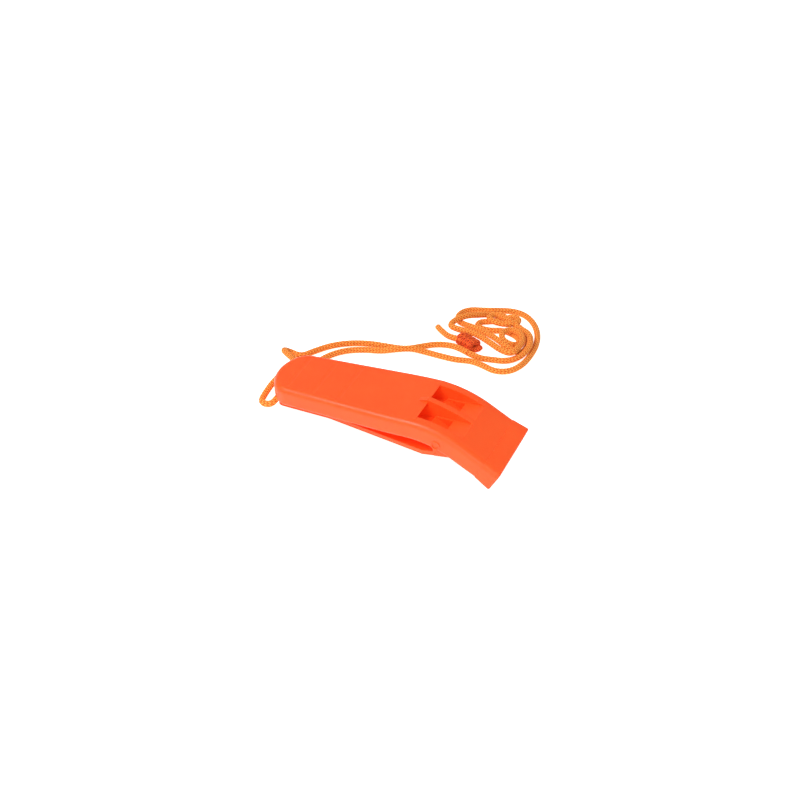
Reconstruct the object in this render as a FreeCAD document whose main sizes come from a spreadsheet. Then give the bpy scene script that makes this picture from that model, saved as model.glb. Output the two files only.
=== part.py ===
"""Flat two-tone pealess whistle with a spring clip underneath and a braided cord.

The hard parts are drawn in the frame of the barrel: X runs from the tail to the mouth,
Z = 0 is the flat top of the barrel and Y = 0 is the wall between the two chambers.
One placement then lays the whistle on the table, where it rests on the end of its clip
and on the lower lip of its mouthpiece. The table is Z = 0 and the origin is at the
middle of the bottom of the whistle's box. The cord is drawn straight in that last frame.
"""
import FreeCAD, Part
import math
import os

import Sketcher

V = FreeCAD.Vector

SIZES = {
    # outline of the barrel and mouthpiece, seen from above
    "nose_radius": 14.0,
    "tail_corner_x": 7.2,
    "tail_corner_y": 4.2,
    "tail_corner_radius": 7.0,
    "half_width": 13.2,
    "full_width_x": 50.0,
    "side_radius": 150.0,
    # side profile
    "barrel_height": 7.0,
    "top_bend_start": 52.5,
    "top_bend_radius": 38.0,
    "bottom_bend_start": 51.8,
    "bottom_bend_radius": 30.0,
    "knee_angle": 31.5,
    "mouthpiece_length": 15.2,
    "flare_length": 6.2,
    "bite_step": 0.12,
    "lip_rise": 0.6,
    "lip_round": 0.6,
    "top_round": 2.0,
    "bottom_round": 1.4,
    # chambers, windows and windways
    "cover_inset": 2.3,
    "cover_thickness": 1.5,
    "chamber_inset": 3.3,
    "chamber_depth": 5.8,
    "chamber_end": 58.0,
    "divider_half": 1.0,
    "labium_x": 55.3,
    "labium_edge": 0.45,
    "labium_bevel": 2.6,
    "window_half_width": 9.2,
    "window_end": 78.0,
    "shelf_depth": 4.9,
    "windway_inner": 1.6,
    "windway_width": 7.0,
    "windway_tip_x": 64.6,
    "windway_tip_depth": 5.7,
    "windway_wall": 1.6,
    "crest_start": 52.0,
    "crest_rise": 0.9,
    "crest_foot_x": 60.0,
    "crest_end": 75.4,
    "crest_radius": 60.0,
    # cross walls under the cover
    "near_stop_x": 26.4,
    "far_stop_x": 16.8,
    "tail_rib_x": 6.8,
    "stop_thickness": 1.4,
    "stop_clearance": 0.1,
    "stiffener_depth": 1.2,
    "sink_radius": 5.0,
    "sink_depth": 0.09,
    # spring clip
    "leaf_thickness": 1.6,
    "leaf_root_half": 12.0,
    "leaf_neck_x": 20.0,
    "leaf_neck_half": 6.1,
    "leaf_tail_half": 5.6,
    "leaf_corner": 3.0,
    "leaf_end_x": -0.6,
    "leaf_tail_depth": 11.9,
    "leaf_bend_x": 57.5,
    "leaf_bend_depth": 12.8,
    "leaf_bend_radius": 6.0,
    "nib_depth": 7.5,
    "nib_length": 1.0,
    "nib_width": 2.4,
    "hinge_x": 61.5,
    "hinge_depth": 11.45,
    "hinge_gap": 0.12,
    "clip_root_end": 68.5,
    "clip_root_depth": 11.5,
    # round moulding mark on the side wall
    "mark_x": 63.1,
    "mark_depth": 6.9,
    "mark_radius": 1.6,
    "mark_width": 0.45,
    "mark_relief": 0.25,
    # cord
    "cord_diameter": 2.3,
    "knot_half_length": 6.6,
    "knot_half_width": 3.0,
    "knot_height": 5.4,
    "knot_round": 2.0,
    "knot_x": 4.9,
    "knot_y": 53.7,
    "knot_heading": -20.0,
    "bundle_height": 6.4,
    "bundle_bend_radius": 18.0,
}

doc = FreeCAD.newDocument("training_whistle")
sheet = doc.addObject("Spreadsheet::Sheet", "Sizes")
for row, (alias, number) in enumerate(SIZES.items(), start=1):
    sheet.set("A%d" % row, alias)
    sheet.set("B%d" % row, str(number))
    sheet.setAlias("B%d" % row, alias)
doc.recompute()


def size(alias):
    """A driving dimension, read from the sheet."""
    return float(getattr(sheet, alias))


def value_of(entry):
    """An entry is a number, or an alias with an optional minus sign."""
    if isinstance(entry, str):
        return -size(entry[1:]) if entry.startswith("-") else size(entry)
    return float(entry)


def bind(feature, path, entry):
    """Set a property or constraint from a number or from a cell of the sheet."""
    if isinstance(entry, str):
        sign = "-" if entry.startswith("-") else ""
        feature.setExpression(path, sign + "Sizes." + entry.lstrip("-"))
    else:
        setattr(feature, path, entry)


# ---------------------------------------------------------------- drawing helpers

def unit(start, end):
    return (end - start).normalize()


def base_plane(body, role):
    return next(plane for plane in body.Origin.OriginFeatures if plane.Role == role)


def new_sketch(body, name, role, offset=FreeCAD.Placement()):
    sketch = body.newObject("Sketcher::SketchObject", name)
    sketch.AttachmentSupport = [(base_plane(body, role), "")]
    sketch.MapMode = "FlatFace"
    sketch.AttachmentOffset = offset
    return sketch


def arc_middle(start, end, radius):
    """Middle of the short arc from start to end; a positive radius bulges to the right,

    which is outwards when the outline runs anticlockwise.
    """
    chord = end - start
    to_centre = math.sqrt(max(0.0, radius * radius - chord.Length * chord.Length / 4))
    sagitta = abs(radius) - to_centre
    right = V(chord.y, -chord.x, 0).normalize()
    return (start + end) * 0.5 + right * math.copysign(sagitta, radius)


def draw_outline(sketch, corners, radii=None):
    """Closed outline through the corners, each an (x, y) pair of sheet aliases or numbers.

    radii gives the edges that are arcs: {index of the edge's first corner: radius}.
    """
    radii = radii or {}
    points = [V(value_of(x), value_of(y), 0) for x, y in corners]
    first = sketch.GeometryCount
    ends = []
    for index, start in enumerate(points):
        end = points[(index + 1) % len(points)]
        if index in radii:
            radius = value_of(radii[index])
            middle = arc_middle(start, end, radius)
            # a sketch keeps its arcs anticlockwise, so a left-hand bulge is drawn backwards
            arc = Part.Arc(start, middle, end) if radius > 0 else Part.Arc(end, middle, start)
            edge = sketch.addGeometry(arc, False)
            ends.append((1, 2) if radius > 0 else (2, 1))
            name = "radius_%d" % edge
            sketch.addConstraint(Sketcher.Constraint("Radius", edge, abs(radius)))
            sketch.renameConstraint(sketch.ConstraintCount - 1, name)
            if isinstance(radii[index], str):
                bind(sketch, "Constraints." + name, radii[index].lstrip("-"))
        else:
            sketch.addGeometry(Part.LineSegment(start, end), False)
            ends.append((1, 2))
    for index, (x, y) in enumerate(corners):
        edge = first + index
        following = first + (index + 1) % len(points)
        sketch.addConstraint(Sketcher.Constraint(
            "Coincident", edge, ends[index][1], following, ends[(index + 1) % len(points)][0]))
        for kind, entry in (("DistanceX", x), ("DistanceY", y)):
            number = value_of(entry)
            sketch.addConstraint(Sketcher.Constraint(
                kind, -1, 1, edge, ends[index][0], number))
            if isinstance(entry, str):
                name = "%s_%d" % (kind.lower(), edge)
                sketch.renameConstraint(sketch.ConstraintCount - 1, name)
                bind(sketch, "Constraints." + name, entry)


def extrude(body, kind, name, sketch, length, both_ways=False, reverse=False):
    """A Pad or Pocket of the sketch. A Pocket that cuts nothing is an error."""
    before = body.Tip.Shape.Volume if body.Tip and hasattr(body.Tip, "Shape") else 0.0
    feature = body.newObject("PartDesign::" + kind, name)
    feature.Profile = sketch
    bind(feature, "Length", length)
    feature.Reversed = reverse
    if both_ways:
        feature.SideType = "Symmetric"
    doc.recompute()
    change = feature.Shape.Volume - before
    if (change > -1e-3) if kind == "Pocket" else (change < 1e-3):
        raise RuntimeError("%s changed nothing" % name)
    return feature


def round_edges(body, name, wanted, radius):
    """Fillet of the tip's edges that the test picks."""
    base = body.Tip
    names = ["Edge%d" % number for number, edge in enumerate(base.Shape.Edges, start=1)
             if wanted(edge)]
    feature = body.newObject("PartDesign::Fillet", name)
    feature.Base = (base, names)
    bind(feature, "Radius", radius)
    doc.recompute()
    if feature.Shape.isNull() or not feature.Shape.isValid():
        raise RuntimeError("%s failed on %s" % (name, names))
    return feature


def new_body(label):
    body = doc.addObject("PartDesign::Body", label)
    body.Label = label
    return body


# ---------------------------------------------------------------- shared geometry

KNEE = math.radians(size("knee_angle"))
ALONG_MOUTH = V(math.cos(KNEE), 0, -math.sin(KNEE))
INTO_MOUTH = V(-math.sin(KNEE), 0, -math.cos(KNEE))

TOP_BEND_END = V(
    size("top_bend_start") + size("top_bend_radius") * math.sin(KNEE),
    0,
    -size("top_bend_radius") * (1 - math.cos(KNEE)),
)
BOTTOM_BEND_END = V(
    size("bottom_bend_start") + size("bottom_bend_radius") * math.sin(KNEE),
    0,
    -size("barrel_height") - size("bottom_bend_radius") * (1 - math.cos(KNEE)),
)
MOUTH_THICKNESS = (BOTTOM_BEND_END - TOP_BEND_END).dot(INTO_MOUTH)
MOUTH_TOP = TOP_BEND_END + ALONG_MOUTH * size("mouthpiece_length")
MOUTH_BOTTOM = MOUTH_TOP + INTO_MOUTH * MOUTH_THICKNESS

# In plan the tail is a blunt nose arc between two round corners. The side walls are straight
# and tangent to a corner and to a shallow bend, after which the mouthpiece has parallel
# sides. FLARE is the angle of the straight walls.
CORNER_CENTRE = V(size("tail_corner_x"), size("tail_corner_y"), 0)
NOSE_TO_CORNER = size("nose_radius") - size("tail_corner_radius")
NOSE_CENTRE_X = CORNER_CENTRE.x + math.sqrt(NOSE_TO_CORNER ** 2 - CORNER_CENTRE.y ** 2)
BEND_CENTRE = V(size("full_width_x"), size("half_width") - size("side_radius"), 0)
CENTRES = BEND_CENTRE - CORNER_CENTRE
FLARE = (math.atan2(CENTRES.y, CENTRES.x)
         - math.asin((size("tail_corner_radius") - size("side_radius")) / CENTRES.Length))
BEND_START = BEND_CENTRE + V(-math.sin(FLARE), math.cos(FLARE), 0) * size("side_radius")
BEYOND = 30.0


def tail_tangent(inset):
    """Point where the far tail corner, moved in by inset, meets its straight side wall."""
    radius = size("tail_corner_radius") - inset
    return CORNER_CENTRE + V(-math.sin(FLARE), math.cos(FLARE), 0) * radius


def nose_tangent(inset):
    """Point where the nose arc, moved in by inset, meets the far tail corner."""
    nose_centre = V(NOSE_CENTRE_X, 0, 0)
    return nose_centre + unit(nose_centre, CORNER_CENTRE) * (size("nose_radius") - inset)


def half_width_at(x, inset=0.0):
    """Half width of the straight part of the plan outline at a distance from the tail."""
    tangent = tail_tangent(inset)
    return tangent.y + (x - tangent.x) * math.tan(FLARE)


def draw_inset_plan(sketch, inset, end_x):
    """Round-tailed outline of the barrel, moved in by inset and cut square at end_x."""
    tangent = tail_tangent(inset)
    nose = nose_tangent(inset)
    wide = min(half_width_at(end_x, inset), size("half_width") - inset)
    corner = size("tail_corner_radius") - inset
    draw_outline(
        sketch,
        [(tangent.x, -tangent.y), (end_x, -wide), (end_x, wide), (tangent.x, tangent.y),
         (nose.x, nose.y), (nose.x, -nose.y)],
        {3: corner, 4: size("nose_radius") - inset, 5: corner},
    )


def mouth_plane(distance_back):
    """Sketch plane across the mouthpiece: x is Y, y points out of its top face."""
    origin = MOUTH_TOP - ALONG_MOUTH * distance_back
    lean = FreeCAD.Rotation(V(1, 0, 0), size("knee_angle"))
    return FreeCAD.Placement(V(0, origin.z, origin.x), lean)


# ---------------------------------------------------------------- body shell

def is_flat_side(face):
    """True for the upright side walls: their normal has no upward part."""
    low, high, near, far = face.ParameterRange
    normal = face.normalAt((low + high) / 2, (near + far) / 2)
    return abs(normal.z) < 1e-4


def edges_between(shape, upward):
    """Middles of the edges where the upright walls meet the top (or the bottom) faces."""
    middles = []
    for edge in shape.Edges:
        faces = shape.ancestorsOfType(edge, Part.Face)
        walls = [face for face in faces if is_flat_side(face)]
        others = [face for face in faces if not is_flat_side(face)]
        if len(walls) != 1 or len(others) != 1:
            continue
        face = others[0]
        low, high, near, far = face.ParameterRange
        normal = face.normalAt((low + high) / 2, (near + far) / 2)
        if abs(normal.dot(ALONG_MOUTH)) > 0.99:
            continue
        if (normal.z > 0) == upward:
            middles.append(edge.CenterOfMass)
    return middles


def near_any(points):
    return lambda edge: any(edge.CenterOfMass.distanceToPoint(point) < 1e-4 for point in points)


def draw_side_profile(body):
    sketch = new_sketch(body, "side_profile", "XZ_Plane")
    draw_outline(
        sketch,
        [(-3.0, 0.0), (-3.0, "-barrel_height"), ("bottom_bend_start", "-barrel_height"),
         (BOTTOM_BEND_END.x, BOTTOM_BEND_END.z), (MOUTH_BOTTOM.x, MOUTH_BOTTOM.z),
         (MOUTH_TOP.x, MOUTH_TOP.z), (TOP_BEND_END.x, TOP_BEND_END.z), ("top_bend_start", 0.0)],
        {2: "-bottom_bend_radius", 6: "top_bend_radius"},
    )
    return sketch


def draw_plan_trim(body):
    """Everything outside the plan outline: a ring that a pocket takes away."""
    sketch = new_sketch(body, "plan_trim", "XY_Plane")
    far_x = MOUTH_TOP.x + BEYOND
    draw_outline(sketch, [(-BEYOND, -BEYOND), (far_x, -BEYOND), (far_x, BEYOND), (-BEYOND, BEYOND)])
    tangent = tail_tangent(0.0)
    nose = nose_tangent(0.0)
    end_x = MOUTH_TOP.x + 5.0
    draw_outline(
        sketch,
        [(tangent.x, -tangent.y), (BEND_START.x, -BEND_START.y), ("full_width_x", "-half_width"),
         (end_x, "-half_width"), (end_x, "half_width"), ("full_width_x", "half_width"),
         (BEND_START.x, BEND_START.y), (tangent.x, tangent.y), (nose.x, nose.y),
         (nose.x, -nose.y)],
        {1: "side_radius", 5: "side_radius", 7: "tail_corner_radius", 8: "nose_radius",
         9: "tail_corner_radius"},
    )
    return sketch


def draw_mouth_section(body, name, distance_back, rise):
    """Rounded section of the mouthpiece, grown by rise all round."""
    sketch = new_sketch(body, name, "YZ_Plane", mouth_plane(distance_back))
    wide = size("half_width") + rise
    low = -MOUTH_THICKNESS - rise
    top = size("top_round")
    bottom = size("bottom_round")
    draw_outline(
        sketch,
        [(bottom - wide, low), (wide - bottom, low), (wide, low + bottom), (wide, rise - top),
         (wide - top, rise), (top - wide, rise), (-wide, rise - top), (-wide, low + bottom)],
        {1: bottom, 3: top, 5: top, 7: bottom},
    )
    return sketch


def add_mouth_flare(body):
    """The last part of the mouthpiece widens into the lip that the teeth hold."""
    flare = body.newObject("PartDesign::AdditiveLoft", "mouth_flare")
    flare.Profile = draw_mouth_section(body, "flare_start", size("flare_length"), size("bite_step"))
    flare.Sections = [draw_mouth_section(body, "flare_end", 0.0, size("lip_rise"))]
    flare.Ruled = True
    doc.recompute()
    round_edges(body, "lip_rounding", is_at_mouth_end, "lip_round")


def is_at_mouth_end(edge):
    return abs((edge.CenterOfMass - MOUTH_TOP).dot(ALONG_MOUTH)) < 1e-3


def cut_chamber(body, name, side):
    """One barrel chamber: side is +1 for the far one and -1 for the near one."""
    sketch = new_sketch(body, name + "_outline", "XY_Plane")
    inset = size("chamber_inset")
    nose_radius = size("nose_radius") - inset
    corner_radius = size("tail_corner_radius") - inset
    divider = size("divider_half")
    tangent = tail_tangent(inset)
    nose = nose_tangent(inset)
    start_x = NOSE_CENTRE_X - math.sqrt(nose_radius ** 2 - divider ** 2)
    wide_x = size("top_bend_start")
    corners = [(start_x, side * divider), ("chamber_end", side * divider),
               ("chamber_end", "window_half_width" if side > 0 else "-window_half_width"),
               (wide_x, side * size("window_half_width")), (tangent.x, side * tangent.y),
               (nose.x, side * nose.y)]
    draw_outline(sketch, corners, {4: side * corner_radius, 5: side * nose_radius})
    return extrude(body, "Pocket", name, sketch, "chamber_depth")


def cut_windway(body):
    """Two flat air channels from the mouth, which narrow towards the windows."""
    width = size("windway_width")
    outer = size("windway_inner") + width
    sketch = new_sketch(body, "windway_profile", "XZ_Plane",
                        FreeCAD.Placement(V(0, 0, outer), FreeCAD.Rotation()))
    wall = size("windway_wall")
    lip_x = size("chamber_end") + 0.2
    in_window = -size("shelf_depth") + 1.0
    past_end = ALONG_MOUTH * 3.0
    ceiling = MOUTH_TOP + INTO_MOUTH * wall
    floor = MOUTH_BOTTOM - INTO_MOUTH * wall
    tip = V(size("windway_tip_x"), 0, -size("windway_tip_depth"))
    lip = V(lip_x, 0, -size("shelf_depth"))
    ceiling_far = ceiling + past_end
    floor_far = floor + past_end
    draw_outline(sketch, [(lip.x, lip.z), (floor.x, floor.z), (floor_far.x, floor_far.z),
                          (ceiling_far.x, ceiling_far.z), (ceiling.x, ceiling.z),
                          (tip.x, tip.z), (tip.x, in_window), (lip.x, in_window)])
    pocket = extrude(body, "Pocket", "near_windway", sketch, "windway_width")
    mirror = body.newObject("PartDesign::Mirrored", "far_windway")
    mirror.Originals = [pocket]
    mirror.MirrorPlane = (base_plane(body, "XZ_Plane"), [""])
    body.Tip = mirror
    doc.recompute()
    return mirror


def cut_windows(body):
    """Both windows down to a level shelf, which runs out through the sloping top."""
    for name, side in (("near_window", -1), ("far_window", 1)):
        sketch = new_sketch(body, name + "_outline", "XY_Plane")
        inner = side * size("divider_half")
        outer = side * size("window_half_width")
        draw_outline(sketch, [("labium_x", inner), ("window_end", inner),
                              ("window_end", outer), ("labium_x", outer)])
        extrude(body, "Pocket", name, sketch, "shelf_depth")


def top_height(x):
    """Height of the top of the mouthpiece, beyond the end of the top bend."""
    return TOP_BEND_END.z - (x - TOP_BEND_END.x) * math.tan(KNEE)


def add_crest(body):
    """Rounded ridge between the windows, on the wall between the chambers."""
    sketch = new_sketch(body, "crest_profile", "XZ_Plane")
    end_x = size("crest_end")
    end_z = top_height(end_x)
    draw_outline(
        sketch,
        [("labium_x", -1.0), ("crest_foot_x", "-shelf_depth"), (end_x, end_z - 1.0),
         (end_x, end_z),
         ("labium_x", "crest_rise")],
        {3: "crest_radius"},
    )
    extrude(body, "Pad", "crest", sketch, 2 * size("divider_half"), both_ways=True)


def add_clip_root(body):
    """Block under the knee that the clip's leaf grows out of."""
    sketch = new_sketch(body, "clip_root_profile", "XZ_Plane")
    seat = size("leaf_thickness") / 2 + size("hinge_gap")
    bottom = -size("hinge_depth") - seat
    inside = -size("barrel_height")
    draw_outline(
        sketch,
        [("hinge_x", bottom), ("clip_root_end", "-clip_root_depth"), ("clip_root_end", inside),
         ("hinge_x", inside), ("hinge_x", -size("hinge_depth") + seat),
         (size("hinge_x") + seat, "-hinge_depth")],
        {4: -seat, 5: -seat},
    )
    extrude(body, "Pad", "clip_root", sketch, 2 * size("leaf_root_half"), both_ways=True)


def draw_circle(sketch, x, y, radius):
    circle = sketch.addGeometry(Part.Circle(V(x, y, 0), V(0, 0, 1), radius), False)
    sketch.addConstraint(Sketcher.Constraint("DistanceX", -1, 1, circle, 3, x))
    sketch.addConstraint(Sketcher.Constraint("DistanceY", -1, 1, circle, 3, y))
    sketch.addConstraint(Sketcher.Constraint("Radius", circle, radius))


def add_side_mark(body):
    """Faint round moulding mark on the near side wall."""
    sketch = new_sketch(body, "mark_outline", "XZ_Plane",
                        FreeCAD.Placement(V(0, 0, size("half_width")), FreeCAD.Rotation()))
    for radius in (size("mark_radius"), size("mark_radius") - size("mark_width")):
        draw_circle(sketch, size("mark_x"), -size("mark_depth"), radius)
    extrude(body, "Pad", "side_mark", sketch, "mark_relief")


def make_body_shell():
    """Main moulding: barrel tray, chamber divider, windways, mouthpiece and clip root."""
    body = new_body("body_shell")
    extrude(body, "Pad", "side_block", draw_side_profile(body), 2 * BEYOND, both_ways=True)
    extrude(body, "Pocket", "plan_cut", draw_plan_trim(body), 4 * BEYOND, both_ways=True)
    top_edges = edges_between(body.Tip.Shape, upward=True)
    bottom_edges = edges_between(body.Tip.Shape, upward=False)
    round_edges(body, "top_rounding", near_any(top_edges), "top_round")
    round_edges(body, "bottom_rounding", near_any(bottom_edges), "bottom_round")
    add_mouth_flare(body)
    add_clip_root(body)
    cover_seat = new_sketch(body, "cover_seat_outline", "XY_Plane")
    draw_inset_plan(cover_seat, size("cover_inset"), size("labium_x"))
    extrude(body, "Pocket", "cover_seat", cover_seat, "cover_thickness")
    cut_windows(body)
    cut_chamber(body, "near_chamber", -1)
    cut_chamber(body, "far_chamber", 1)
    add_crest(body)
    cut_windway(body)
    add_side_mark(body)
    return body


# ---------------------------------------------------------------- barrel cover

def chamber_half_width(x):
    """Half width of the chambers inside the side walls."""
    tangent = tail_tangent(size("chamber_inset"))
    if x > tangent.x:
        along = (size("window_half_width") - tangent.y) / (size("top_bend_start") - tangent.x)
        return tangent.y + (x - tangent.x) * along
    radius = size("tail_corner_radius") - size("chamber_inset")
    return CORNER_CENTRE.y + math.sqrt(radius ** 2 - (CORNER_CENTRE.x - x) ** 2)


def add_cross_wall(body, name, x, side, depth):
    """Wall under the cover, across one chamber, with a little clearance all round."""
    sketch = new_sketch(body, name + "_outline", "XY_Plane",
                        FreeCAD.Placement(V(0, 0, -size("cover_thickness")), FreeCAD.Rotation()))
    half = size("stop_thickness") / 2
    inner = side * (size("divider_half") + size("stop_clearance"))
    outer = side * (chamber_half_width(x - half) - size("stop_clearance"))
    draw_outline(sketch, [(x - half, inner), (x + half, inner), (x + half, outer), (x - half, outer)])
    extrude(body, "Pad", name, sketch, depth, reverse=True)


def make_barrel_cover():
    """Flat lid of both chambers; its bevelled front edge is what the air hits."""
    body = new_body("barrel_cover")
    plan = new_sketch(body, "cover_outline", "XY_Plane")
    draw_inset_plan(plan, size("cover_inset"), size("labium_x"))
    extrude(body, "Pad", "cover_plate", plan, "cover_thickness", reverse=True)
    bevel = new_sketch(body, "labium_profile", "XZ_Plane")
    draw_outline(bevel, [(size("labium_x") - size("labium_bevel"), "-cover_thickness"),
                         (size("labium_x") + 1.0, -2 * size("cover_thickness")),
                         (size("labium_x") + 1.0, "-labium_edge"), ("labium_x", "-labium_edge")])
    extrude(body, "Pocket", "labium", bevel, 2 * BEYOND, both_ways=True)
    nose = new_sketch(body, "crest_nose_profile", "XZ_Plane")
    draw_outline(nose, [("crest_start", "-labium_edge"), ("labium_x", "-labium_edge"),
                        ("labium_x", "crest_rise"), ("crest_start", 0.0)])
    extrude(body, "Pad", "crest_nose", nose, 2 * size("divider_half"), both_ways=True)
    full_depth = size("chamber_depth") - size("cover_thickness") - size("stop_clearance")
    for place, x in (("tail", size("tail_rib_x")), ("far_stop", size("far_stop_x")),
                     ("near_stop", size("near_stop_x"))):
        for side_name, side in (("near", -1), ("far", 1)):
            full = place == side_name + "_stop"
            depth = full_depth if full else size("stiffener_depth")
            add_cross_wall(body, "%s_%s_wall" % (place, side_name), x, side, depth)
        sink = new_sketch(body, place + "_sink_profile", "XZ_Plane")
        draw_circle(sink, x, size("sink_radius") - size("sink_depth"), size("sink_radius"))
        extrude(body, "Pocket", place + "_sink", sink, 2 * BEYOND, both_ways=True)
    return body


# ---------------------------------------------------------------- spring clip

def make_clip_leaf():
    """Springy leaf under the barrel, free at the tail, where a nib keeps the cord in."""
    body = new_body("clip_leaf")
    sketch = new_sketch(body, "leaf_profile", "XZ_Plane")
    half = size("leaf_thickness") / 2
    hinge = size("hinge_depth")
    tail_top = size("leaf_thickness") - size("leaf_tail_depth")
    bend_top = size("leaf_thickness") - size("leaf_bend_depth")
    draw_outline(
        sketch,
        [("leaf_end_x", "-leaf_tail_depth"), ("leaf_bend_x", "-leaf_bend_depth"),
         ("hinge_x", -hinge - half), (size("hinge_x") + half, -hinge),
         ("hinge_x", -hinge + half), ("leaf_bend_x", bend_top), ("leaf_end_x", tail_top)],
        {2: half, 3: half},
    )
    extrude(body, "Pad", "leaf", sketch, 2 * BEYOND, both_ways=True)
    bends = [V(size("leaf_bend_x"), 0, -size("leaf_bend_depth")), V(size("leaf_bend_x"), 0, bend_top)]
    round_edges(body, "leaf_bend", near_any(bends), "leaf_bend_radius")
    extrude(body, "Pocket", "leaf_trim", draw_leaf_trim(body), 4 * BEYOND, both_ways=True)
    nib = new_sketch(body, "nib_profile", "XZ_Plane")
    nib_end = size("leaf_end_x") + size("nib_length")
    inside_leaf = tail_top - half
    draw_outline(nib, [("leaf_end_x", inside_leaf), (nib_end, inside_leaf),
                       (nib_end, "-nib_depth"), ("leaf_end_x", "-nib_depth")])
    extrude(body, "Pad", "nib", nib, "nib_width", both_ways=True)
    return body


def draw_leaf_trim(body):
    """Everything outside the leaf's plan: a ring that a pocket takes away."""
    sketch = new_sketch(body, "leaf_plan", "XY_Plane")
    draw_outline(sketch, [(-BEYOND, -2 * BEYOND), (4 * BEYOND, -2 * BEYOND),
                          (4 * BEYOND, 2 * BEYOND), (-BEYOND, 2 * BEYOND)])
    tail = size("leaf_end_x")
    corner = size("leaf_corner")
    root_x = size("hinge_x") + 2.0
    side = size("leaf_tail_half")
    draw_outline(
        sketch,
        [(tail + corner, -side), ("leaf_neck_x", "-leaf_neck_half"),
         ("leaf_bend_x", "-leaf_root_half"), (root_x, "-leaf_root_half"),
         (root_x, "leaf_root_half"), ("leaf_bend_x", "leaf_root_half"),
         ("leaf_neck_x", "leaf_neck_half"), (tail + corner, side), (tail, side - corner),
         (tail, corner - side)],
        {7: corner, 9: corner},
    )
    return sketch


# ---------------------------------------------------------------- cord

# The cord is one piece. From the passage between barrel and leaf, one side goes round the
# tail and folds back towards the knot, and the other goes straight to the loose coils. Points
# are in the finished frame, with the cord's middle a radius above the table where it is flat.
FLAT = size("cord_diameter") / 2
PASSAGE = V(-38.6, 2.6, 3.6)
TAIL_SIDE = [
    PASSAGE, V(-38.6, -0.8, 3.6), V(-41.4, -4.0, 3.3), V(-42.2, -8.6, 1.8), V(-46.6, -8.6, 1.3),
    V(-47.2, -2.8, 1.9), V(-46.9, 2.6, 2.9), V(-45.6, 8.0, 3.9), V(-43.2, 13.2, 4.7),
    V(-52.0, 17.4, 4.7), V(-51.2, 21.4, 1.3), V(-46.0, 20.9, FLAT), V(-43.4, 25.6, FLAT),
    V(-39.6, 31.2, FLAT), V(-34.4, 35.6, FLAT), V(-27.6, 38.8, FLAT), V(-20.6, 40.2, FLAT),
    V(-14.4, 41.6, FLAT), V(-9.9, 45.8, FLAT), V(-5.8, 49.3, FLAT), V(-1.2, 51.0, FLAT),
    V(3.0, 50.6, 1.4), V(6.6, 49.4, 1.4),
]
LAST_OF_LOOP = 6
FAR_SIDE = [
    PASSAGE, V(-38.6, 6.0, 3.6), V(-38.6, 12.4, 2.7), V(-39.4, 19.0, 1.35), V(-38.1, 24.9, FLAT),
    V(-33.9, 30.8, FLAT), V(-27.8, 34.6, FLAT), V(-21.9, 36.6, FLAT), V(-17.2, 37.9, 2.6),
    V(-12.4, 40.9, 2.8), V(-7.6, 43.0, 1.4), V(-2.0, 43.5, FLAT), V(4.3, 44.0, FLAT),
    V(9.4, 45.9, FLAT),
]
CUT_END = [V(1.9, 53.4, 3.2), V(-1.6, 53.5, 2.7), V(-5.9, 56.2, 1.5), V(-9.9, 59.5, 1.2)]


def cord_path(points):
    """Straight runs joined by tangent arcs, each as large as its two runs allow."""
    edges = []
    radii = []
    cursor = points[0]
    for before, corner, after in zip(points, points[1:], points[2:]):
        arriving = unit(before, corner)
        leaving = unit(corner, after)
        half_turn = arriving.getAngle(leaving) / 2
        reach = 0.45 * min(before.distanceToPoint(corner), corner.distanceToPoint(after))
        radius = reach / math.tan(half_turn)
        inward = (leaving - arriving).normalize()
        to_middle = radius / math.cos(half_turn) - radius
        start = corner - arriving * reach
        end = corner + leaving * reach
        edges.append(Part.LineSegment(cursor, start).toShape())
        edges.append(Part.Arc(start, corner + inward * to_middle, end).toShape())
        radii.append(radius)
        cursor = end
    edges.append(Part.LineSegment(cursor, points[-1]).toShape())
    return Part.Wire(edges), radii


def make_cord(label, points):
    """One stretch of the cord, a plain round tube along its path."""
    path, radii = cord_path(points)
    diameter = size("cord_diameter")
    ring = Part.Wire(Part.makeCircle(diameter / 2, points[0], unit(points[0], points[1])))
    tube = doc.addObject("Part::Feature", label)
    tube.Label = label
    tube.Shape = path.makePipeShell([ring], True, False)
    section = math.pi * diameter * diameter / 4
    print("%s: length %.1f, radii %s, volume %.2f of %.2f" % (
        label, path.Length, " ".join("%.1f" % radius for radius in radii),
        tube.Shape.Volume, section * path.Length))
    return tube


def cut_away(label, base, tools):
    """The base without the tools, so that it meets them face to face."""
    for number, tool in enumerate(tools, start=1):
        cut = doc.addObject("Part::Cut", "%s_cut_%d" % (label, number))
        cut.Base = base
        cut.Tool = tool
        base = cut
    base.Label = label
    return base


def make_knot(tools):
    """Overhand knot that ties the two strands: one flattened lump."""
    body = new_body("knot_lump")
    sketch = new_sketch(body, "knot_plan", "XY_Plane")
    side = size("knot_half_width")
    straight = size("knot_half_length") - side
    draw_outline(
        sketch,
        [(-straight, -side), (straight, -side), (straight + side, 0.0), (straight, side),
         (-straight, side), (-straight - side, 0.0)],
        {1: side, 2: side, 4: side, 5: side},
    )
    extrude(body, "Pad", "knot_slab", sketch, "knot_height")
    round_edges(body, "knot_rounding", is_level, "knot_round")
    heading = FreeCAD.Rotation(V(0, 0, 1), size("knot_heading"))
    body.Placement = FreeCAD.Placement(V(size("knot_x"), size("knot_y"), 0), heading)
    return cut_away("cord_knot", body, tools)


def is_level(edge):
    """True for the edges round the top and the bottom of an upright slab."""
    box = edge.BoundBox
    return box.ZLength < 1e-6


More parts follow.
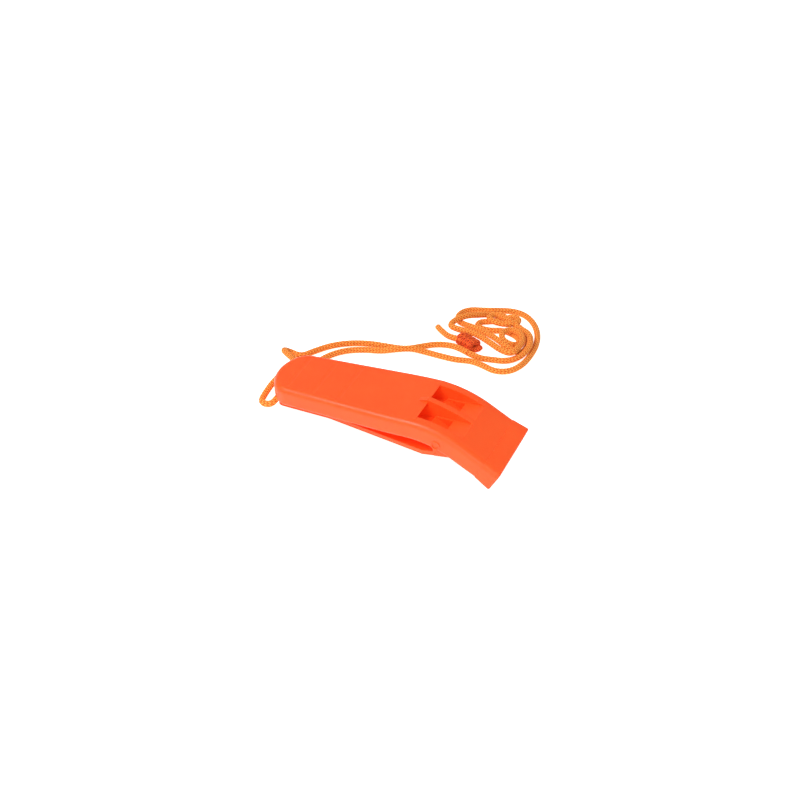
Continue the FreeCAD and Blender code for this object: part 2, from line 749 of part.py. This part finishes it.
def make_bundle(tools):
    """Outer shape of the cord's loose coils, which lie flat on the table."""
    body = new_body("bundle_outline")
    sketch = new_sketch(body, "bundle_plan", "XY_Plane")
    draw_outline(
        sketch,
        [(9.7, 43.6), (21.1, 45.4), (27.1, 54.0), (27.7, 64.0), (24.3, 73.8), (17.9, 80.4),
         (10.5, 81.6), (1.5, 77.8), (-4.1, 73.0), (-5.3, 66.4), (-2.1, 60.2), (9.5, 54.0)],
        dict.fromkeys(range(1, 9), "bundle_bend_radius"),
    )
    extrude(body, "Pad", "bundle_slab", sketch, "bundle_height")
    return cut_away("cord_bundle", body, tools)


# ---------------------------------------------------------------- placing and writing

def lowest(shape, tilt):
    """Lowest point of the shape once it is turned by tilt, tail up, about the Y axis."""
    turned = shape.copy()
    turned.rotate(V(0, 0, 0), V(0, 1, 0), -tilt)
    return turned.optimalBoundingBox().ZMin


def rest_placement(shell, leaf):
    """Where the whistle comes to rest, on the end of its clip and the lip of its mouth."""
    span = MOUTH_BOTTOM.x - size("leaf_end_x")
    tilt = 0.0
    for _ in range(5):
        step = lowest(leaf.Shape, tilt) - lowest(shell.Shape, tilt)
        tilt += math.degrees(math.atan2(step, span))
    turn = FreeCAD.Rotation(V(0, 1, 0), -tilt)
    box = FreeCAD.BoundBox()
    for piece in (shell, leaf):
        turned = piece.Shape.copy()
        turned.Placement = FreeCAD.Placement(V(0, 0, 0), turn)
        box.add(turned.optimalBoundingBox())
    print("tilt %.3f degrees, whistle %.2f x %.2f x %.2f" % (tilt, box.XLength, box.YLength,
                                                          box.ZLength))
    return FreeCAD.Placement(V(-box.Center.x, -box.Center.y, -box.ZMin), turn)


def check(obj):
    """Stops the build if an object failed or its solid isn't sound."""
    if "Invalid" in obj.State or "Error" in obj.State:
        raise RuntimeError("%s is %s" % (obj.Label, obj.State))
    shape = getattr(obj, "Shape", None)
    if shape is not None and not obj.isDerivedFrom("Sketcher::SketchObject"):
        if not obj.isDerivedFrom("App::OriginFeature") and (shape.isNull() or not shape.isValid()):
            raise RuntimeError("%s has no valid shape" % obj.Label)


body_shell = make_body_shell()
barrel_cover = make_barrel_cover()
clip_leaf = make_clip_leaf()
place = rest_placement(body_shell, clip_leaf)
for piece in (body_shell, barrel_cover, clip_leaf):
    piece.Placement = place

join = (TAIL_SIDE[LAST_OF_LOOP] + TAIL_SIDE[LAST_OF_LOOP + 1]) * 0.5
tail_loop = make_cord("cord_tail_loop", TAIL_SIDE[:LAST_OF_LOOP + 1] + [join])
upper_strand = make_cord("cord_upper_strand", [join] + TAIL_SIDE[LAST_OF_LOOP + 1:])
lower_strand = make_cord("cord_lower_strand", FAR_SIDE)
cut_end = make_cord("cord_cut_end", CUT_END)
knot = make_knot([upper_strand, cut_end])
doc.recompute()
bundle = make_bundle([knot, upper_strand, lower_strand, cut_end])
doc.recompute()

for obj in doc.Objects:
    check(obj)
os.makedirs("parts", exist_ok=True)
for node in (body_shell, barrel_cover, clip_leaf, upper_strand, tail_loop, lower_strand,
             cut_end, knot, bundle):
    box = node.Shape.optimalBoundingBox()
    print("%s: %d solid, volume %.1f, X %.2f..%.2f Y %.2f..%.2f Z %.2f..%.2f" % (
        node.Label, len(node.Shape.Solids), node.Shape.Volume, box.XMin, box.XMax, box.YMin,
        box.YMax, box.ZMin, box.ZMax))
    node.Shape.exportStep("parts/%s.step" % node.Label)
hinge = place.multVec(V(size("hinge_x"), 0, -size("hinge_depth")))
print("clip hinge at %.3f %.3f %.3f" % (hinge.x, hinge.y, hinge.z))
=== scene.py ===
"""Orange training whistle lying on a white table, with its braided cord knotted and loosely coiled."""
import math

import bpy
import numpy as np
from mathutils import Matrix, Vector


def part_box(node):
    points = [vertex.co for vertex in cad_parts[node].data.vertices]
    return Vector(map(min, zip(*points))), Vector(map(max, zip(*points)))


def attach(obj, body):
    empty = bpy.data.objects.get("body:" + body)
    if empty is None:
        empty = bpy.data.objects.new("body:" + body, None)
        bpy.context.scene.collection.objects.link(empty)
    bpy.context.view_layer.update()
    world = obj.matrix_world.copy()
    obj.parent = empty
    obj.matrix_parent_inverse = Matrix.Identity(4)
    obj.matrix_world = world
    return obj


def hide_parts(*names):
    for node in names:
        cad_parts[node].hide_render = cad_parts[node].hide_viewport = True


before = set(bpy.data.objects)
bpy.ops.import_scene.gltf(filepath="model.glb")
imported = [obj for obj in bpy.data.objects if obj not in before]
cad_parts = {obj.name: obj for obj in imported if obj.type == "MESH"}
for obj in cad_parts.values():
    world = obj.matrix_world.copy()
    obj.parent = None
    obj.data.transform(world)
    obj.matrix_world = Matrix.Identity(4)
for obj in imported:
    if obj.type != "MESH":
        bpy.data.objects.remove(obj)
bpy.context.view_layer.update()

MM = 0.001
scene = bpy.context.scene
scene.view_settings.view_transform = "Standard"


# ------------------------------------------------------------------ camera, floor and light

# The photograph looks down on the whistle from the near side of its mouth, slightly rolled.
AZIMUTH = math.radians(23.5)
ELEVATION = math.radians(39.3)
ROLL = math.radians(2.0)
DISTANCE = 0.502
TARGET = Vector((1.04, 2.4, 11.84)) * MM
LENS = 67.5
SENSOR = 36.0

FLOOR_HALF = 3.0
# The table glows, more strongly for the camera than for the object, so that it stays white.
TABLE_GLOW = 0.5
TABLE_GLOW_SEEN = 0.4
WORLD_LIGHT = 0.42


def add_camera():
    right = Vector((math.cos(AZIMUTH), math.sin(AZIMUTH), 0))
    back = Vector((math.sin(AZIMUTH) * math.cos(ELEVATION),
                   -math.cos(AZIMUTH) * math.cos(ELEVATION), math.sin(ELEVATION)))
    up = back.cross(right)
    rolled_right = right * math.cos(ROLL) + up * math.sin(ROLL)
    rolled_up = back.cross(rolled_right)
    data = bpy.data.cameras.new("photo_camera")
    data.lens = LENS
    data.sensor_width = SENSOR
    data.clip_start = 0.01
    camera = bpy.data.objects.new("photo_camera", data)
    axes = Matrix((rolled_right, rolled_up, back)).transposed()
    camera.matrix_world = Matrix.Translation(TARGET + back * DISTANCE) @ axes.to_4x4()
    scene.collection.objects.link(camera)
    scene.camera = camera


def add_floor():
    mesh = bpy.data.meshes.new("floor")
    half = FLOOR_HALF
    mesh.from_pydata([(-half, -half, 0), (half, -half, 0), (half, half, 0), (-half, half, 0)], [],
                     [(0, 1, 2, 3)])
    floor = bpy.data.objects.new("floor", mesh)
    scene.collection.objects.link(floor)
    material, shader, add = new_material("white_table")
    shader.inputs["Base Color"].default_value = (0.9, 0.9, 0.9, 1)
    shader.inputs["Roughness"].default_value = 0.9
    shader.inputs["Emission Color"].default_value = (1, 1, 1, 1)
    seen = add("ShaderNodeLightPath").outputs["Is Camera Ray"]
    glow = add("ShaderNodeMath", {0: seen, 1: TABLE_GLOW_SEEN, 2: TABLE_GLOW},
               operation="MULTIPLY_ADD")
    link(glow.outputs[0], shader.inputs["Emission Strength"])
    mesh.materials.append(material)


def add_area_light(name, place, aim, side, power):
    data = bpy.data.lights.new(name, "AREA")
    data.shape = "DISK"
    data.size = side
    data.energy = power
    light = bpy.data.objects.new(name, data)
    light.location = place
    light.rotation_euler = (Vector(aim) - Vector(place)).to_track_quat("-Z", "Y").to_euler()
    scene.collection.objects.link(light)


def light_studio():
    """A bright white tent: strong even light, and one large soft key from the upper left."""
    world = bpy.data.worlds.new("studio")
    scene.world = world
    world.use_nodes = True
    background = world.node_tree.nodes["Background"]
    background.inputs["Color"].default_value = (1, 1, 1, 1)
    background.inputs["Strength"].default_value = WORLD_LIGHT
    add_area_light("key", (-0.3, -0.35, 0.75), (0, 0.02, 0), 0.5, 5.5)
    add_area_light("near_fill", (0.35, -0.8, 0.45), (0, 0, 0.01), 0.5, 2.0)


# ------------------------------------------------------------------ materials

def new_material(name):
    """A material with a Principled shader; also returns the shader and a node maker."""
    material = bpy.data.materials.new(name)
    material.use_nodes = True
    tree = material.node_tree
    shader = tree.nodes["Principled BSDF"]

    def add(kind, inputs=None, **settings):
        node = tree.nodes.new(kind)
        for key, setting in settings.items():
            setattr(node, key, setting)
        for key, entry in (inputs or {}).items():
            socket = node.inputs[key]
            if isinstance(entry, bpy.types.NodeSocket):
                tree.links.new(entry, socket)
            else:
                socket.default_value = entry
        return node

    return material, shader, add


def link(output, entry):
    output.id_data.links.new(output, entry)


def linear(red, green, blue):
    """A colour given as it looks on a screen, 0 to 255."""
    def channel(value):
        share = value / 255
        return share / 12.92 if share <= 0.04045 else ((share + 0.055) / 1.055) ** 2.4
    return (channel(red), channel(green), channel(blue), 1)


def moulded_plastic(name, light_tone, dark_tone, glow):
    """Translucent orange plastic with flow clouds, fine grain and tiny scuffs.

    The glow stands in for the light that comes through the thin walls into the recesses.
    """
    material, shader, add = new_material(name)
    place = add("ShaderNodeTexCoord").outputs["Object"]
    flow = add("ShaderNodeTexNoise", {"Vector": place, "Scale": 45.0, "Detail": 3.0})
    tone = add("ShaderNodeMix", {"Factor": flow.outputs["Fac"]}, data_type="RGBA")
    tone.inputs["A"].default_value = dark_tone
    tone.inputs["B"].default_value = light_tone
    link(tone.outputs["Result"], shader.inputs["Base Color"])
    grain = add("ShaderNodeTexNoise", {"Vector": place, "Scale": 2600.0, "Detail": 2.0})
    waves = add("ShaderNodeTexNoise", {"Vector": place, "Scale": 160.0, "Detail": 2.0})
    scuffs = add("ShaderNodeMapRange", {"Value": waves.outputs["Fac"], "From Min": 0.35,
                                        "From Max": 0.7, "To Min": 0.34, "To Max": 0.46})
    link(scuffs.outputs["Result"], shader.inputs["Roughness"])
    rough = add("ShaderNodeMath", {0: grain.outputs["Fac"], 1: 0.35}, operation="MULTIPLY")
    height = add("ShaderNodeMath", {0: rough.outputs[0], 1: waves.outputs["Fac"]}, operation="ADD")
    bump = add("ShaderNodeBump", {"Height": height.outputs[0], "Strength": 0.25,
                                  "Distance": 0.05 * MM})
    link(bump.outputs["Normal"], shader.inputs["Normal"])
    shader.inputs["Specular IOR Level"].default_value = 0.36
    shader.inputs["Emission Color"].default_value = glow
    shader.inputs["Emission Strength"].default_value = 0.2
    shader.inputs["Subsurface Weight"].default_value = 0.3
    shader.inputs["Subsurface Radius"].default_value = (1.0, 0.25, 0.1)
    shader.inputs["Subsurface Scale"].default_value = 1.2 * MM
    return material


def braided_yarn(name, groove, body, crown):
    """Polypropylene yarn, coloured from painted shade in the grooves up to a painted highlight on the
    crown of each stitch.
    """
    material, shader, add = new_material(name)
    relief = add("ShaderNodeAttribute", attribute_name="relief").outputs["Fac"]
    uv = add("ShaderNodeUVMap", uv_map="along_cord").outputs["UV"]
    # The ramp paints shade into the grooves and a highlight onto the crowns of the stitches.
    ramp = add("ShaderNodeValToRGB", {"Fac": relief})
    ramp.color_ramp.elements[0].position = 0.22
    ramp.color_ramp.elements[0].color = groove
    ramp.color_ramp.elements[1].position = 0.9
    ramp.color_ramp.elements[1].color = crown
    middle = ramp.color_ramp.elements.new(0.5)
    middle.color = body
    place = add("ShaderNodeTexCoord").outputs["Object"]
    patches = add("ShaderNodeTexNoise", {"Vector": place, "Scale": 220.0, "Detail": 2.0})
    wear = add("ShaderNodeMapRange", {"Value": patches.outputs["Fac"], "To Min": 0.98,
                                      "To Max": 1.2})
    colour = add("ShaderNodeVectorMath", {0: ramp.outputs["Color"]}, operation="SCALE")
    link(wear.outputs["Result"], colour.inputs["Scale"])
    link(colour.outputs["Vector"], shader.inputs["Base Color"])
    stretched = add("ShaderNodeMapping", {"Vector": uv, "Scale": (220.0, 5.0, 1.0)})
    fibres = add("ShaderNodeTexNoise", {"Vector": stretched.outputs["Vector"], "Scale": 1.0,
                                        "Detail": 3.0})
    bump = add("ShaderNodeBump", {"Height": fibres.outputs["Fac"], "Strength": 0.5,
                                  "Distance": 0.05 * MM})
    link(bump.outputs["Normal"], shader.inputs["Normal"])
    shader.inputs["Roughness"].default_value = 0.6
    shader.inputs["Specular IOR Level"].default_value = 0.15
    shader.inputs["Sheen Weight"].default_value = 0.08
    return material


# ------------------------------------------------------------------ cord

CORD_DIAMETER = 2.3 * MM
COLUMNS = 6
STITCH = 1.2 * MM
LEG_LEAN = 0.9
GROOVE_FLOOR = 0.1
BEAD_ROUNDING = 0.7
RELIEF = 0.2 * MM
AROUND = 60
RING_STEP = 0.13 * MM

# The cord's route, in millimetres, is the same as in the CAD model, and then goes on in coils.
FLAT = 1.15
PASSAGE = (-38.6, 2.6, 3.6)
TAIL_SIDE = [
    PASSAGE, (-38.6, -0.8, 3.6), (-41.4, -4.0, 3.3), (-42.2, -8.6, 1.8), (-46.6, -8.6, 1.3),
    (-47.2, -2.8, 1.9), (-46.9, 2.6, 2.9), (-45.6, 8.0, 3.9), (-43.2, 13.2, 4.7),
    (-52.0, 17.4, 4.7), (-51.2, 21.4, 1.3), (-46.0, 20.9, FLAT), (-43.4, 25.6, FLAT),
    (-39.6, 31.2, FLAT), (-34.4, 35.6, FLAT), (-27.6, 38.8, FLAT), (-20.6, 40.2, FLAT),
    (-14.4, 41.6, FLAT), (-9.9, 45.8, FLAT), (-5.8, 49.3, FLAT), (-1.2, 51.0, FLAT),
    (3.0, 50.6, 1.4), (6.6, 49.4, 1.4),
]
FAR_SIDE = [
    PASSAGE, (-38.6, 6.0, 3.6), (-38.6, 12.4, 2.7), (-39.4, 19.0, 1.35), (-38.1, 24.9, FLAT),
    (-33.9, 30.8, FLAT), (-27.8, 34.6, FLAT), (-21.9, 36.6, FLAT), (-17.2, 37.9, 2.6),
    (-12.4, 40.9, 2.8), (-7.6, 43.0, 1.4), (-2.0, 43.5, FLAT), (4.3, 44.0, FLAT),
    (9.4, 45.9, FLAT),
    # once round the outside, near end first
    (14.2, 45.3, FLAT), (19.0, 44.0, FLAT), (23.9, 46.2, FLAT), (26.7, 51.8, FLAT),
    (27.4, 58.8, FLAT), (27.0, 65.4, FLAT), (25.2, 71.6, FLAT), (21.4, 77.4, FLAT),
    (16.6, 80.8, FLAT), (11.6, 81.0, FLAT), (6.6, 78.8, FLAT), (1.6, 76.4, FLAT),
    (-3.4, 74.4, FLAT), (-5.6, 70.2, 1.3), (-4.8, 66.2, 1.4),
    # back across the top
    (-1.8, 63.4, 2.6), (4.9, 60.9, 4.2), (10.9, 59.6, 4.2), (15.7, 57.4, 4.2), (20.6, 55.4, 3.4),
    (24.2, 57.4, 1.6),
    # second turn, inside the first
    (24.6, 62.6, 1.3), (23.2, 67.8, 1.3), (19.0, 71.6, 1.3), (14.0, 74.0, 1.4), (9.2, 76.4, 1.6),
    (4.8, 73.8, 2.0), (1.6, 70.0, 3.2), (-1.4, 65.8, 4.6), (-4.0, 61.8, 4.4), (-4.6, 58.2, 4.0),
    # across again
    (-0.6, 57.6, 4.0), (4.4, 58.0, 4.2), (8.6, 56.9, 4.2), (13.0, 55.0, 4.2), (17.6, 52.8, 4.2),
    (22.0, 52.4, 4.2),
    # small ring in the middle, once round on top and once below
    (23.0, 56.6, 4.4), (23.2, 61.4, 4.0), (20.4, 66.2, 3.8), (16.0, 67.0, 3.6), (13.8, 63.0, 3.6),
    (16.2, 59.2, 3.4), (20.4, 59.6, 2.4), (21.6, 63.4, 1.6), (18.6, 66.8, 1.3),
    # two bights to the left of the ring, then back over the right side
    (13.6, 68.0, 1.3), (8.4, 65.4, 1.3), (3.6, 65.4, 1.3), (3.0, 68.8, 1.3), (6.8, 70.8, 1.3),
    (10.8, 72.6, 2.6), (14.6, 74.6, 3.8), (17.8, 72.6, 3.8), (14.4, 69.0, 3.6), (9.4, 68.2, 3.6),
    (6.0, 69.4, 3.8), (7.6, 73.0, 4.0), (13.0, 72.0, 3.6), (18.6, 69.4, 3.2), (23.6, 67.2, 3.6),
    (26.0, 61.4, 3.6), (25.4, 55.4, 2.6),
    # along the near side to the knot, where it meets the other end
    (21.4, 51.4, 1.2), (15.6, 49.8, FLAT), (11.0, 48.6, FLAT), (6.6, 49.4, 1.4),
]
CUT_END = [(1.9, 53.4, 3.2), (-1.6, 53.5, 2.7), (-5.9, 56.2, 1.5), (-9.9, 59.5, 1.2)]


def in_metres(route):
    return [Vector(point) * MM for point in route]


def smooth_line(route):
    """Points of the NURBS spline that has the route as its control points."""
    curve = bpy.data.curves.new("route", "CURVE")
    curve.dimensions = "3D"
    curve.resolution_u = 24
    spline = curve.splines.new("NURBS")
    spline.points.add(len(route) - 1)
    for point, place in zip(spline.points, route):
        point.co = (*place, 1)
    spline.order_u = 3
    spline.use_endpoint_u = True
    holder = bpy.data.objects.new("route", curve)
    scene.collection.objects.link(holder)
    mesh = bpy.data.meshes.new_from_object(holder)
    line = np.array([vertex.co for vertex in mesh.vertices])
    bpy.data.meshes.remove(mesh)
    bpy.data.objects.remove(holder)
    bpy.data.curves.remove(curve)
    return line


def evenly(line, step):
    """The same line with its points a step apart, and the distance of each along it."""
    travelled = np.concatenate([[0], np.cumsum(np.linalg.norm(np.diff(line, axis=0), axis=1))])
    count = max(4, round(travelled[-1] / step))
    wanted = np.linspace(0, travelled[-1], count + 1)
    return np.stack([np.interp(wanted, travelled, line[:, axis]) for axis in range(3)], 1), wanted


def turning_frames(line):
    """A pair of directions across the line at each point, carried along without twist."""
    forward = np.gradient(line, axis=0)
    forward /= np.linalg.norm(forward, axis=1)[:, None]
    across = np.cross(forward[0], (0, 0, 1))
    sideways = []
    for direction in forward:
        across = across - direction * across.dot(direction)
        across /= np.linalg.norm(across)
        sideways.append(across)
    sideways = np.array(sideways)
    return sideways, np.cross(forward, sideways)


def stitch_relief(turn, along):
    """Height of the knitted surface, 0 in a groove to 1 on a stitch.

    Each column of stitches is two legs that lean together like a V, one stitch after another.
    """
    column = (turn * COLUMNS) % 1.0
    leg = np.abs(column - 0.5) * 2
    across = np.sqrt(np.clip(1 - ((leg - 0.5) / 0.5) ** 2, 0, 1))
    phase = (along / STITCH + LEG_LEAN * leg) % 1.0
    bead = np.sin(np.pi * phase) ** BEAD_ROUNDING
    return across * (GROOVE_FLOOR + (1 - GROOVE_FLOOR) * bead)


def knit_mesh(name, line, travelled, ends=(0.0, 0.0)):
    """Mesh of a knitted cord along the line; ends gives how far each end is rounded off."""
    side, up = turning_frames(line)
    turn = np.arange(AROUND) / AROUND
    angle = 2 * np.pi * turn
    relief = stitch_relief(turn[None, :], travelled[:, None])
    radius = CORD_DIAMETER / 2 - RELIEF * (1 - relief)
    for distance, rounding in ((travelled, ends[0]), (travelled[-1] - travelled, ends[1])):
        if rounding:
            share = np.clip(distance / rounding, 0, 1)
            radius = radius * np.sqrt(1 - (1 - share) ** 2)[:, None]
    ring = (np.cos(angle)[None, :, None] * side[:, None, :]
            + np.sin(angle)[None, :, None] * up[:, None, :])
    places = (line[:, None, :] + ring * radius[:, :, None]).reshape(-1, 3)
    rows = len(line)
    row, column = np.meshgrid(np.arange(rows - 1), np.arange(AROUND), indexing="ij")
    following = (column + 1) % AROUND
    corners = np.stack([row * AROUND + column, row * AROUND + following,
                        (row + 1) * AROUND + following, (row + 1) * AROUND + column], -1)
    quads = corners.reshape(-1, 4)
    mesh = bpy.data.meshes.new(name)
    caps = [tuple(range(AROUND - 1, -1, -1)), tuple(range((rows - 1) * AROUND, rows * AROUND))]
    mesh.from_pydata(places.tolist(), [], quads.tolist() + caps)
    for polygon in mesh.polygons:
        polygon.use_smooth = True
    attribute = mesh.attributes.new("relief", "FLOAT", "POINT")
    attribute.data.foreach_set("value", relief.reshape(-1).astype(np.float32))
    layer = mesh.uv_layers.new(name="along_cord")
    across = np.stack([column, column + 1, column + 1, column], -1).reshape(-1) / AROUND
    lengthwise = (travelled / STITCH)[np.stack([row, row, row + 1, row + 1], -1).reshape(-1)]
    spare = np.zeros((2 * AROUND, 2))
    uv = np.concatenate([np.stack([across, lengthwise], 1), spare])
    layer.data.foreach_set("uv", uv.reshape(-1).astype(np.float32))
    return mesh


def knit_cord(name, route, material, ends=(0.0, 0.0)):
    line, travelled = evenly(smooth_line(in_metres(route)), RING_STEP)
    mesh = knit_mesh(name, line, travelled, ends)
    mesh.materials.append(material)
    cord = bpy.data.objects.new(name, mesh)
    scene.collection.objects.link(cord)
    return cord, line, travelled[-1]


# Tight slanting turns stand in for the knot. Lengths are in millimetres.
KNOT_HEADING = math.radians(-20.0)
KNOT_TURNS = 4.25
KNOT_STEPS = 12
KNOT_LENGTH = 7.6
KNOT_SLANT = 0.9
KNOT_HALF_WIDTH = 1.8
KNOT_HALF_HEIGHT = 1.5


def knot_route():
    """Points of the tight turns, along the middle of the CAD knot."""
    low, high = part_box("cord_knot")
    middle = (low + high) / 2 / MM
    axis = Vector((math.cos(KNOT_HEADING), math.sin(KNOT_HEADING), 0))
    across = Vector((-math.sin(KNOT_HEADING), math.cos(KNOT_HEADING), 0))
    count = KNOT_TURNS * KNOT_STEPS
    route = []
    for step in range(int(count) + 1):
        angle = 2 * math.pi * step / KNOT_STEPS - math.pi / 2
        along = (step / count - 0.5) * KNOT_LENGTH + KNOT_SLANT * math.cos(angle)
        place = (middle + axis * along + across * KNOT_HALF_WIDTH * math.cos(angle)
                 + Vector((0, 0, 1)) * KNOT_HALF_HEIGHT * math.sin(angle))
        route.append(place)
    return route


def add_cords():
    # The groove tone is painted shade and the crown tone is a painted highlight.
    yarn = braided_yarn("braided_cord", linear(165, 46, 8), linear(255, 125, 34),
                        linear(255, 188, 90))
    # A darker copy of the same yarn for the knot: painted shade, as the knot lies in the shadow of the
    # strands over it.
    knot_yarn_painted_shade = braided_yarn("knot_painted_shade_yarn", linear(120, 18, 4), linear(226, 70, 22),
                               linear(250, 116, 50))
    tail, tail_line, tail_length = knit_cord("cord_tail_side", TAIL_SIDE, yarn)
    coils, coil_line, coil_length = knit_cord("cord_coils", FAR_SIDE, yarn)
    tag, _, _ = knit_cord("cord_cut_end_detail", CUT_END, yarn, ends=(0.0, 0.5 * MM))
    knot, _, _ = knit_cord("cord_knot_wraps", knot_route(), knot_yarn_painted_shade,
                             ends=(1.0 * MM, 1.0 * MM))
    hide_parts("cord_upper_strand", "cord_tail_loop")
    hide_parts("cord_lower_strand", "cord_bundle")
    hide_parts("cord_cut_end")
    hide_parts("cord_knot")
    for piece in (tail, coils, tag, knot):
        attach(piece, "whistle")


# ------------------------------------------------------------------ whistle

def finish_hard_parts():
    """Materials and softened edges for the moulded pieces."""
    plastic = moulded_plastic("orange_plastic", linear(242, 93, 30), linear(230, 83, 24),
                              linear(240, 50, 16))
    for name in ("body_shell", "barrel_cover", "clip_leaf"):
        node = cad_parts[name]
        node.data.materials.clear()
        node.data.materials.append(plastic)
        bevel = node.modifiers.new("edge_softening", "BEVEL")
        bevel.width = 0.12 * MM
        bevel.segments = 2
        bevel.limit_method = "ANGLE"
        bevel.angle_limit = math.radians(35)
        bevel.harden_normals = False


add_camera()
add_floor()
light_studio()
finish_hard_parts()
add_cords()
